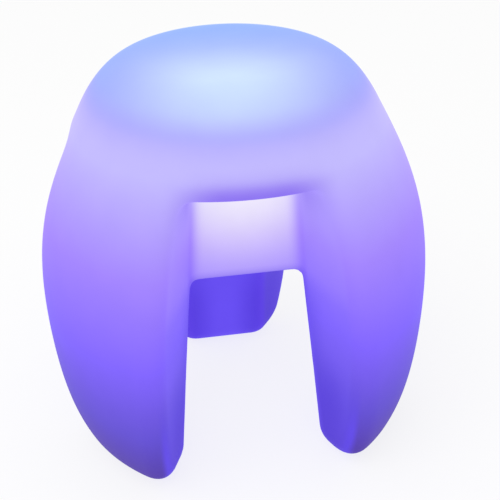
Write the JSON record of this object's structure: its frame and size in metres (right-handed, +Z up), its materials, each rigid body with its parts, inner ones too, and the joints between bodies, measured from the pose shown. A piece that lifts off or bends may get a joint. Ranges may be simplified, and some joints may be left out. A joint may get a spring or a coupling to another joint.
{
  "type": "illuminated stool",
  "caption": "Low round-shouldered stool moulded as a hollow translucent shell with deep notches between its legs and a rechargeable light module screwed under its hub.",
  "frame": {"origin": "on the floor, at the centre of the footprint", "axes": "+Z up through the seat; -Y looks out through one notch; +X to the right of it"},
  "size_m": [0.4116, 0.3788, 0.425],
  "materials": {
    "shell": "translucent milky polyethylene with a fine satin grain",
    "module_plastic": "fine spark-eroded texture",
    "lens": "frosted polycarbonate",
    "smoked_window": "polished, passes infrared",
    "black_rubber": "matte silicone",
    "button_plastic": "satin",
    "insert_brass": "knurled brass",
    "screw_steel": "zinc plated",
    "spreader_aluminium": "as rolled",
    "lamp_board_white": "white solder mask",
    "board_green": "green solder mask",
    "lamp_resin": "clear resin over phosphor",
    "cell_wrap": "heat-shrunk film",
    "nickel": "bare nickel",
    "strap_nylon": "natural nylon",
    "chip_epoxy": "moulded epoxy",
    "capacitor_sleeve": "sleeved can",
    "red_wire": "smooth sleeve",
    "white_wire": "smooth sleeve",
    "switch_plastic": "moulded"
  },
  "bodies": {
    "stool": {"seat_shell": "shell", "module_base": "module_plastic", "module_housing": "module_plastic", "battery_tray": "module_plastic", "lens_dome": "lens", "status_light_pipe": "lens", "infrared_window": "smoked_window", "flange_gasket": "black_rubber", "lens_seal": "black_rubber", "button_seal": "black_rubber", "hub_inserts": "insert_brass", "flange_screws": "screw_steel", "housing_screws": "screw_steel", "lens_screws": "screw_steel", "lamp_board_screws": "screw_steel", "driver_board_screws": "screw_steel", "port_board_screws": "screw_steel", "strap_screws": "screw_steel", "charge_cover_pin": "screw_steel", "heat_spreader": "spreader_aluminium", "lamp_board": "lamp_board_white", "driver_board": "board_green", "port_board": "board_green", "lamp_chips": "lamp_resin", "status_lamp": "lamp_resin", "battery_cells": "cell_wrap", "cell_link": "nickel", "charge_socket_pin": "nickel", "charge_socket_nut": "nickel", "battery_strap": "strap_nylon", "battery_plug": "strap_nylon", "controller_chip": "chip_epoxy", "charge_inductor": "chip_epoxy", "infrared_receiver": "chip_epoxy", "button_switch": "chip_epoxy", "charge_socket": "chip_epoxy", "smoothing_capacitors": "capacitor_sleeve", "battery_leads": "red_wire", "lamp_leads": "white_wire", "port_leads": "white_wire"},
    "button": {"power_button": "button_plastic", "switch_plunger": "switch_plastic"},
    "cover": {"charge_cover": "black_rubber"}
  },
  "joints": [
    {"name": "button_press", "type": "slide", "parent": "stool", "child": "button", "axis": [0, 0, 1], "range_m": [0, 0.0012], "stiffness_N_per_m": 800, "springref_m": -0.0005},
    {"name": "cover_hinge", "type": "hinge", "parent": "stool", "child": "cover", "pos_m": [0.002, -0.03537, 0.2246], "axis": [1, 0, 0], "range_deg": [0, 110]}
  ]
}
